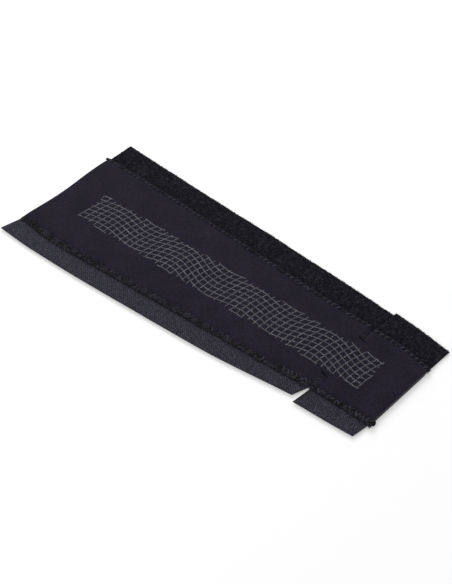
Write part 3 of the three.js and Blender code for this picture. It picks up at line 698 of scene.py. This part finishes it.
def mottled(tree, attribute, share, noise, *stops):
    """A ramp over noise with those inputs plus a share of an attribute of the mesh."""
    place = node(tree, "TexCoord").outputs["Object"]
    measure = node(tree, "Attribute", attribute_name=attribute).outputs["Fac"]
    uneven = node(tree, "TexNoise", {"Vector": place, **noise})
    mixed = node(tree, "Math", {0: measure, 1: share, 2: uneven}, operation="MULTIPLY_ADD")
    return colour_ramp(mixed, *stops)


# Nylon, woven tight and dyed charcoal: dull ribs with small dots. The ramp over the dots' relief paints
# light and shade on it: the rises lighter, the pits between them near black.
hook_weave, tree, shader = new_material("woven_nylon_hook_tape", roughness=0.8, Specular_IOR_Level=0.2)
shade = mottled(tree, "dots", 0.3, {"Scale": 1500.0, "Detail": 2.0},
                (0.22, "#050509"), (0.5, "#161520"), (0.76, "#4b4a59"))
# The short piece's notch end is mixed towards near black.
darker_end = node(tree, "Attribute", attribute_name="darker_end").outputs["Fac"]
end_darkening = node(tree, "Mix", {0: darker_end, 6: shade, 7: linear("#111114")}, data_type="RGBA")
along = node(tree, "Attribute", attribute_name="along").outputs["Vector"]
stretched = node(tree, "Mapping", {"Vector": along, "Scale": (900.0, 5000.0, 1.0)})
yarns = node(tree, "TexNoise", {"Vector": stretched, "Scale": 1.0, "Detail": 1.0})
bump = node(tree, "Bump", {"Height": yarns, "Strength": 0.5, "Distance": 0.00006})
fill(shader, {"Base Color": end_darkening, "Normal": bump})

# %% Hook tapes
hook_tapes = []
for label, plan, shown, darker_end in (("long", hook_long, 12.5, 0.0), ("short", hook_short, 12.0, 2.0)):
    tape = woven_tape(f"hook_tape_weave_{label}", plan, HOOK_TAPE_WIDTH, HOOK_HEIGHT, HOOK_TAPE_TOP,
                      hook_weave, "hook_tape", shown, lift=0.05, darker_end=darker_end)
    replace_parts(tape, f"hook_tape_{label}")
    hook_tapes.append((label, tape, plan))

# %% [markdown]
# ## Hooks
# Stiff nylon threads are woven in as small arches, and one leg of each is cut, which leaves a hook. There
# are thousands, in straight rows, on the face that is down here. Each is a short tube along a cane: a
# straight stem, then half a circle. Every second row leans the other way, as on real tape.

# %% Hooks
# Nylon monofilament: smooth and glassy beside the dull weave.
monofilament, tree, shader = new_material("nylon_monofilament_hook", roughness=0.35, ior=1.53)
shader.inputs["Base Color"].default_value = linear("#1c1c20")
HOOK_ROW, HOOK_GAP, HOOK_BEND, HOOK_WIRE = 1.5, 1.4, 0.24, 0.085

for label, tape, (place, length) in hook_tapes:
    across = np.arange(SELVEDGE + HOOK_ROW / 2, HOOK_TAPE_WIDTH - SELVEDGE, HOOK_ROW)
    along = np.arange(HOOK_GAP, length - HOOK_GAP, HOOK_GAP)
    row, step = [grid.ravel() for grid in np.indices((len(across), len(along)))]
    source = np.random.default_rng(11)
    x, y = place(along[step] / length, across[row])
    x, y = x + source.normal(0, 0.05, x.size), y + source.normal(0, 0.05, x.size)
    facing = np.where(row % 2, 1.0, -1.0)
    lean = source.normal(0, 0.12, x.size)
    turn = np.radians([225, 270, 315, 360])
    stem = HOOK_HEIGHT - HOOK_BEND - HOOK_WIRE
    reach = np.concatenate([[0, 0], HOOK_BEND * (1 + np.cos(turn))])
    drop = np.concatenate([[-0.25, stem * 0.55], stem - HOOK_BEND * np.sin(turn)])
    heights = HOOK_HEIGHT + 0.05 - drop
    sway = lean[:, None] * drop
    paths = stacked(x[:, None] + facing[:, None] * reach, y[:, None] + sway, heights)
    points, triangles = tubes(paths, np.array([0.0, 1.0, 0.0]), HOOK_WIRE, corners=4)
    hooks = finished_mesh(f"hooks_{label}", points, triangles, monofilament, "hook_tape")
    print("   ", x.size, "hooks")

# %% [markdown]
# ## Loop tape and its pile
# The other tape is woven with thousands of soft loops, brushed until they tangle into a dull black fur.
# It has three layers: the woven ground, a lumpy mat for the depth of the tangle, and loose loops that
# stand out of the mat and catch the light one by one.

# %% Loop tape ground
# The same weave in black, its dots' rises painted lighter and its pits darker as on the hook tape.
# Only its selvedge and its back show.
loop_weave, tree, shader = new_material("woven_nylon_loop_tape", roughness=0.85, Specular_IOR_Level=0.2)
shade = mottled(tree, "dots", 0.2, {"Scale": 900.0, "Detail": 2.0},
                (0.2, "#18181b"), (0.5, "#232327"), (0.8, "#34343a"))
fill(shader, {"Base Color": shade})

# Brushed nylon: fine crimped fibres that swallow light, a little lighter where they lie over.
pile, tree, shader = new_material("brushed_nylon_pile", roughness=1.0, Specular_IOR_Level=0.1,
                                  Sheen_Weight=0.05, Sheen_Roughness=0.4)
shade = mottled(tree, "tone", 0.3, {"Scale": 450.0, "Detail": 5.0, "Roughness": 0.85},
                (0.4, "#0a090e"), (0.6, "#1b1920"), (0.85, "#46444f"))
place = node(tree, "TexCoord").outputs["Object"]
fibres = node(tree, "TexNoise", {"Vector": place, "Scale": 2600.0, "Detail": 3.0})
bump = node(tree, "Bump", {"Height": fibres, "Strength": 0.8, "Distance": 0.0002})
fill(shader, {"Base Color": shade, "Normal": bump})

MAT_STEP, MAT_FOOT, MAT_TONE, LOOP_RADIUS, PILE_INSET = 0.5, TAPE_BACK - 0.1, 0.25, 0.085, 0.2


def mat_height(x, y, inwards, shown):
    """Height of the tangle: a lumpy nap with a rounded shoulder, crushed flat where the panel covers it."""
    nap = 1.25
    for amount, wavelength, seed in ((0.13, 2.1, 21), (0.1, 1.1, 22), (0.08, 12, 23)):
        nap = nap + amount * rough(x, y, wavelength, seed)
    shoulder = smooth_step((inwards - PILE_INSET) / 1.1) ** 0.5
    covered = smooth_step((inwards - shown + 0.9) / 0.9)
    return MAT_FOOT + shoulder * ((1 - covered) * nap + covered * CRUSHED_PILE)


def pile_mat(name, place, length, shown):
    """The tangle as a closed slab on the tape's ground."""
    overhang = 0.1 / length
    share = np.linspace(-overhang, 1 + overhang, int(round(length / MAT_STEP)) + 1)[:, None]
    inwards = np.linspace(PILE_INSET, LOOP_TAPE_WIDTH, int(round(LOOP_TAPE_WIDTH / MAT_STEP)) + 1)[None, :]
    x, y = place(share, inwards)
    at_end = round_off(np.minimum(share, 1 - share) * length, 0.4, steepest=0.5)
    height = MAT_FOOT + (mat_height(x, y, inwards, shown(x)) - MAT_FOOT) * at_end
    points, quads = slab(stacked(x, y, height), stacked(x, y, MAT_FOOT - 0.05))
    return finished_mesh(name, points, quads, pile, "loop_tape", {"tone": np.full(len(points), MAT_TONE)})


def pile_loops(name, place, length, shown, per_square_mm):
    """Loose loops on the mat: half ellipses of random size, heading and lean, sunk at both feet."""
    source = np.random.default_rng(31)
    count = int(length * LOOP_TAPE_WIDTH * per_square_mm)
    share, inwards = source.uniform(0, 1, count), source.uniform(PILE_INSET, LOOP_TAPE_WIDTH - 2, count)
    x, y = place(share, inwards)
    kept = inwards < shown(x) - 0.7
    share, inwards, x, y = share[kept], inwards[kept], x[kept], y[kept]
    count = kept.sum()
    heading, lean = source.uniform(0, 2 * np.pi, count), source.normal(0, 0.55, count)
    size, rise = source.uniform(0.22, 0.5, count), source.uniform(0.25, 0.6, count)
    flat = stacked(np.cos(heading), np.sin(heading), 0)
    aside = stacked(-np.sin(heading), np.cos(heading), 0)
    up = np.array([0, 0, 1.0]) * np.cos(lean)[:, None] + aside * np.sin(lean)[:, None]
    foot = stacked(x, y, mat_height(x, y, inwards, shown(x)) - 0.12)
    turn = np.linspace(0, np.pi, 5)
    paths = (foot[:, None] + (size[:, None] * np.cos(turn))[..., None] * flat[:, None]
             + (rise[:, None] * np.sin(turn))[..., None] * up[:, None])
    sideways = np.cross(flat, up)
    points, triangles = tubes(paths, sideways[:, None], LOOP_RADIUS, corners=3)
    # Loops next to the panel's edge get painted shade; those along the outer rim are lighter.
    at_rim, shade_by_panel = hump(inwards - 0.9, 0.9), hump(shown(x) - inwards, 3)
    tones = source.uniform(0, 1, count) ** 1.5 + 0.35 * at_rim - 0.5 * shade_by_panel
    tone = np.repeat(tones, len(points) // count)
    return finished_mesh(name, points, triangles, pile, "loop_tape", {"tone": tone})


# %% Loop tapes
for label, plan, shown in (("long", loop_long, loop_shown_long), ("short", loop_short, loop_shown_short)):
    place, length = plan
    tape = woven_tape(f"loop_tape_weave_{label}", plan, LOOP_TAPE_WIDTH, 0.0, TAPE_BACK, loop_weave,
                      "loop_tape", shown=2.0, lift=0.0)
    mat = pile_mat(f"pile_mat_{label}", place, length, shown)
    loops = pile_loops(f"pile_loops_{label}", place, length, shown, per_square_mm=1.9)
    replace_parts(tape, f"loop_tape_{label}")

# %% [markdown]
# ## Sewing
# What shows of a seam is a short arch of thread between each two holes. So each stitch is a tube that
# leaves one hole, lies over the cloth and dives into the next. Every second one is painted lighter, a
# painted highlight where it would catch the light.

# %% Stitches
# Polyester thread: twisted, black, with the slight shine of its filaments.
# Its grey tones are painted light: stitches that would catch the light are painted greyer, the rest darker.
thread, tree, shader = new_material("twisted_polyester_thread", roughness=0.6, Specular_IOR_Level=0.06)
place = node(tree, "TexCoord").outputs["Object"]
uneven = node(tree, "TexNoise", {"Vector": place, "Scale": 700.0, "Detail": 2.0})
tone = node(tree, "Attribute", attribute_name="tone").outputs["Fac"]
mixed = node(tree, "Math", {0: uneven, 1: 0.5, 2: tone}, operation="MULTIPLY_ADD")
shade = colour_ramp(mixed, (0.2, "#08080a"), (0.6, "#1b1a1f"), (1.0, "#3d3b45"))
fill(shader, {"Base Color": shade})
END_TONE, TAIL_RADIUS = 0.12, 0.22


def stitches(holes, tones, lift, seed, radius=0.28, sink=0.4, power=0.6, uneven=0.1):
    """A stitch between each two holes, with two tones in turn from 0, black, to 1, a painted lit grey.

    Its height is the panel's plus lift in the middle, and sink below it at the holes, along sin^power.
    """
    source = np.random.default_rng(seed)
    t = np.linspace(0, 1, 9)
    start, way = holes[:-1, None], (holes[1:] - holes[:-1])[:, None]
    flat = start + t[:, None] * way
    arch = -sink + (lift + sink) * np.sin(np.pi * t) ** power
    loose = source.uniform(-0.04, 0.12, len(flat))[:, None] * np.sin(np.pi * t)
    height = panel_top(flat[..., 0], flat[..., 1]) + arch + loose
    paths = np.concatenate([flat, height[..., None]], -1)
    aside = unit(stacked(-way[..., 1], way[..., 0], 0))
    points, triangles = tubes(paths, aside, radius * source.uniform(0.8, 1.2, len(flat))[:, None], corners=6)
    # Every second stitch takes the other tone, as painted light.
    tone = np.where(np.arange(len(flat)) % 2, tones[1], tones[0]) + source.normal(0, uneven, len(flat))
    return points, triangles, np.repeat(tone, len(points) // len(flat))


def thread_along(path, towards, radius, tone):
    """One thread along a path, in one tone; its rings start square to the path and to a direction."""
    aside = unit(np.cross(np.gradient(path, axis=0), towards))
    points, triangles = tubes(path[None], aside[None], radius, corners=6)
    return points, triangles, np.full(len(points), tone)


def tied_knot(centre, radius, tone=END_TONE, plump=0.3):
    """A thrown knot: thread along a flat trefoil, (sin t + 2 sin 2t, cos t - 2 cos 2t, -sin 3t)."""
    t = np.linspace(0, 2 * np.pi, 49)
    trefoil = stacked(np.sin(t) + 2 * np.sin(2 * t), np.cos(t) - 2 * np.cos(2 * t), -np.sin(3 * t))
    path = centre + trefoil * np.array([0.28, 0.5, 0.45]) * radius
    outwards = path - centre + np.array([0.01, 0.0, 0.3]) * radius
    return thread_along(path, outwards, plump * radius, tone)


def loose_tail(points):
    """A short end of thread along a smooth line through a few points."""
    points = np.array(points, float)
    t = np.linspace(0, len(points) - 1, 12)
    path = stacked(*[np.interp(t, np.arange(len(points)), points[:, k]) for k in range(3)])
    path[1:-1] = (path[:-2] + path[1:-1] + path[2:]) / 3
    return thread_along(path, np.array([0.1, 0.2, 1.0]), TAIL_RADIUS, END_TONE)


def sewn(name, parts, replaced):
    """One seam from its stitches, knots and tails, in the place of a solid."""
    points, triangles = joined([part[:2] for part in parts])
    tone = np.concatenate([part[2] for part in parts])
    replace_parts(finished_mesh(name, points, triangles, thread, "sewing_thread", {"tone": tone}), replaced)


# %% Seams on the hook side
sewn("hook_seam_stitches_long",
     [stitches(back_tack, (0.4, 0.45), lift=0.08, uneven=0.25, seed=81),
      stitches(second_tack, (0.5, 0.35), lift=0.15, uneven=0.25, seed=82),
      stitches(hook_run, (0.3, 0.5), radius=0.32, lift=0.04, uneven=0.25, seed=83),
      stitches(to_notch, (0.65, 0.5), radius=0.45, lift=0.06, power=0.8, uneven=0.25, seed=84)],
     "hook_seam_long")

end_y = -(hook_side(RIGHT) - HOOK_SEAM_INSET)
knot_place = np.array([with_cut_ends(RIGHT, end_y) + 0.6, end_y, 2.0])
tail = loose_tail([(RIGHT - 1.6, end_y, 2.9), (RIGHT + 0.2, end_y - 0.4, 3.0), knot_place])
tail_end = loose_tail([knot_place, knot_place + (0.6, -1.5, -0.3), knot_place + (0.3, -2.8, -0.9)])
sewn("hook_seam_stitches_short",
     [stitches(hook_short_run, (0.55, 0.5), radius=0.46, lift=0.04, sink=0.5, power=0.8, uneven=0.35,
               seed=85),
      stitches(last_tack, (0.65, 0.45), radius=0.36, lift=0.2, power=0.8, uneven=0.4, seed=86),
      tied_knot(knot_place, 1.35, tone=0.35, plump=0.42), tail, tail_end], "hook_seam_short")

# %% Seams on the loop side
open_zigzag = dict(tones=(0.65, 0.1), lift=0.1, sink=0.5, power=0.8, uneven=0.15)
start_y = loop_side(LEFT) - LOOP_SEAM_INSET
small_knot = np.array([with_cut_ends(LEFT, start_y) - 0.5, start_y, 2.75])
tail = loose_tail([(LEFT + 1.4, start_y, 2.9), small_knot])
sewn("loop_seam_stitches_long",
     [stitches(loop_run, radius=0.46, seed=87, **open_zigzag), tied_knot(small_knot, 0.8), tail],
     "loop_seam_long")
end_y = loop_side(RIGHT) - LOOP_SEAM_INSET
end_knot = np.array([with_cut_ends(RIGHT, end_y) + 0.5, end_y, 2.4])
tail = loose_tail([(RIGHT - 1.2, end_y, 2.9), end_knot, end_knot + (0.3, -1.6, -0.9)])
sewn("loop_seam_stitches_short",
     [stitches(loop_short_run, radius=0.5, seed=88, **open_zigzag), tied_knot(end_knot, 0.7), tail],
     "loop_seam_short")

# %% Darts
POINT_BAR = [(-1.1, 1.2), (-0.35, 0.3), (0.1, -0.4), (0.4, 0.1), (1, -1.2), (0.1, 0.5), (-0.9, 0.2)]
for label, side, width, length, holes, tones, lift in (
        ("hook", HOOK, hook_side, HOOK_DART_LENGTH, hook_dart, (0.5, 0.35), -0.12),
        ("loop", LOOP, loop_side, LOOP_DART_LENGTH, loop_dart, (0.5, 0.0), 0.1)):
    point = np.array([DART_X, side * (width(DART_X) - length)])
    bar = point + np.array(POINT_BAR) * (POINT_TACK / 2, 0.9)
    zigzagged = stitches(holes, tones, lift=lift, uneven=0.2, seed=91)
    tacked = stitches(bar, (0.0, 0.05), radius=0.34, lift=0.25, seed=92)
    sewn(f"{label}_dart_stitches", [zigzagged, tacked], f"{label}_dart_stitching")

# %% [markdown]
# ## Printed net
# The print is a thick rubbery ink pressed through a screen: a net whose rows are waves, a ripple on a
# slower swell, and whose columns lean more and more, cropped to a rectangle. Its lines stand a quarter of
# a millimetre proud. Each is a low ribbon that follows the panel's face, cut where it leaves the rectangle.

# %% Net
NET_LENGTH, NET_WIDTH, NET_CELL_LENGTH, NET_CELL_WIDTH = 206.6, 25.6, 4.02, 3.75
NET_LINE, NET_THICKNESS, NET_TURN = 0.74, 0.25, np.radians(0.7)
NET_CENTRE = np.array([2.8, -2.8])
NET_RIPPLE, NET_SWELL, NET_RIPPLE_LENGTH, NET_CREST_X, NET_SWELL_CREST_X = 2.5, 2.0, 52.0, 18.4, -36.0
NET_ROW_SHIFT, NET_COLUMN_SHIFT, NET_LEAN, NET_BEND, NET_SPREAD = -1.2, 0.65, 0.18, 0.0065, 0.00023
NET_STEP, NET_PAST_WIDE_END = 0.5, np.array([1.3, 0])


def net_column(number, y):
    """A column's points: a foot, spaced wider at the wide end, plus a lean of LEAN y + BEND y^2."""
    along = NET_COLUMN_SHIFT + number * NET_CELL_LENGTH
    return stacked(along - NET_SPREAD * along ** 2 + NET_LEAN * y + NET_BEND * y ** 2, y)


def net_row(number, x):
    """A row's points: a cosine ripple on a cosine swell twice as long."""
    turn = 2 * np.pi / NET_RIPPLE_LENGTH
    ripple = NET_RIPPLE * np.cos(turn * (x - NET_CREST_X))
    swell = NET_SWELL * np.cos(turn / 2 * (x - NET_SWELL_CREST_X))
    return stacked(x, NET_ROW_SHIFT + number * NET_CELL_WIDTH + (ripple + swell))


def runs_inside(line, number):
    """The stretches of a line inside the cropped rectangle, whose border is printed a little ragged."""
    ragged = 0.2 * np.sin(2.4 * number)
    half = np.array([NET_LENGTH, NET_WIDTH]) / 2 - NET_LINE / 4 + ragged - 0.15
    inside = ((line <= half) & (line >= -half - NET_PAST_WIDE_END)).all(axis=1)
    changes = np.flatnonzero(np.diff(np.concatenate([[False], inside, [False]]).astype(int)))
    return [line[start:stop] for start, stop in zip(changes[::2], changes[1::2]) if stop - start > 4]


def ink_ribbon(line, number):
    """A line of ink: half an ellipse across, rounded off at both ends, on the panel's face."""
    travelled = np.concatenate([[0], np.cumsum(np.linalg.norm(np.diff(line, axis=0), axis=1))])
    to_end = np.minimum(travelled, travelled[-1] - travelled)
    blunt = round_off(to_end, NET_LINE / 2, steepest=0.98)
    along = unit(np.gradient(line, axis=0))
    aside = stacked(-along[:, 1], along[:, 0])
    turn = np.radians([0, 30, 60, 90, 120, 150, 180])
    across = np.concatenate([np.cos(turn), [-0.8, 0.8]])
    rise = np.concatenate([np.sin(turn) * NET_THICKNESS, [-0.15, -0.15]])
    uneven = 1 + 0.2 * rough(travelled, 0 * travelled, 3.5, seed=100 + number, waves=8)
    half = NET_LINE / 2 * blunt * uneven
    flat = line[:, None] + half[:, None, None] * across[:, None] * aside[:, None]
    cos, sin = np.cos(NET_TURN), np.sin(NET_TURN)
    x = NET_CENTRE[0] + flat[..., 0] * cos - flat[..., 1] * sin
    y = NET_CENTRE[1] + flat[..., 0] * sin + flat[..., 1] * cos
    return skin_of(stacked(x, y, panel_top(x, y) + rise * blunt[:, None])[None])


columns, rows = np.arange(-28, 29), np.arange(-6, 7)
across = np.arange(-NET_WIDTH / 2, NET_WIDTH / 2 + NET_STEP, NET_STEP)
along = np.arange(-NET_LENGTH / 2 - 2, NET_LENGTH / 2 + NET_STEP, NET_STEP)
runs = [run for column in columns for run in runs_inside(net_column(column, across), column)]
runs += [run for row in rows for run in runs_inside(net_row(row, along), row)]
points, triangles = joined([ink_ribbon(run, number) for number, run in enumerate(runs)])

# Screen-printed rubbery ink: grey, a little brighter where it lies thick, with a soft shine and fine
# bright specks painted on as glints.
ink, tree, shader = new_material("screen_printed_rubbery_ink", roughness=0.5, Specular_IOR_Level=0.3)
place = node(tree, "TexCoord").outputs["Object"]
uneven = node(tree, "TexNoise", {"Vector": place, "Scale": 420.0, "Detail": 3.0})
shade = colour_ramp(uneven, (0.3, "#29292f"), (0.55, "#36363d"), (0.75, "#494952"))
grains = node(tree, "TexNoise", {"Vector": place, "Scale": 1600.0, "Detail": 0.0})
painted_glints = node(tree, "MapRange", {"Value": grains, "From Min": 0.64, "From Max": 0.72})
speckled = node(tree, "Mix", {0: painted_glints, 6: shade, 7: linear("#7c7c86")}, data_type="RGBA")
fill(shader, {"Base Color": speckled})
net = finished_mesh("raised_net_print", points, triangles, ink, "rubbery_print")
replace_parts(net, "printed_net")
print("   ", len(runs), "lines of ink")
